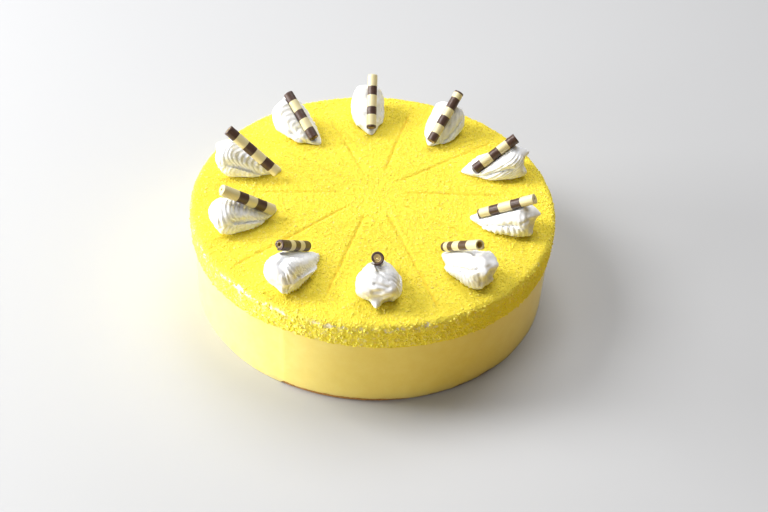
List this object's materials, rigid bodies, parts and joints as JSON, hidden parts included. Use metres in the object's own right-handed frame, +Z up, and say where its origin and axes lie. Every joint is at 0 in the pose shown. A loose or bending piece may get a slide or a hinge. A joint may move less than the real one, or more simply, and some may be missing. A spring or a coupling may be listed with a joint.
{
  "type": "sweet potato cake",
  "caption": "Round uncut sweet potato mousse cake with a fine yellow crumb top, piped cream shells and striped hollow chocolate rolls.",
  "frame": {"origin": "middle of the cake's foot, on the surface that it stands on", "axes": "+Z up; the picture looks along +Y from above; one piped shell lies near +X, and the shell at the front points along -Y"},
  "size_m": [0.2121, 0.2121, 0.0911],
  "materials": {
    "sponge": "matte baked sponge skin",
    "mousse": "smooth, slightly moist pale yellow mousse",
    "crumbs": "dry fine yellow cake crumbs",
    "cream": "soft white whipped cream, finely ridged",
    "chocolate": "satin dark chocolate with pale yellow bands"
  },
  "bodies": {
    "root": {"sponge_base": "sponge", "mousse_body": "mousse", "crumb_top": "crumbs", "cream_01": "cream", "cream_02": "cream", "cream_03": "cream", "cream_04": "cream", "cream_05": "cream", "cream_06": "cream", "cream_07": "cream", "cream_08": "cream", "cream_09": "cream", "cream_10": "cream", "choc_roll_01": "chocolate", "choc_roll_02": "chocolate", "choc_roll_03": "chocolate", "choc_roll_04": "chocolate", "choc_roll_05": "chocolate", "choc_roll_06": "chocolate", "choc_roll_07": "chocolate", "choc_roll_08": "chocolate", "choc_roll_09": "chocolate", "choc_roll_10": "chocolate"}
  },
  "joints": []
}
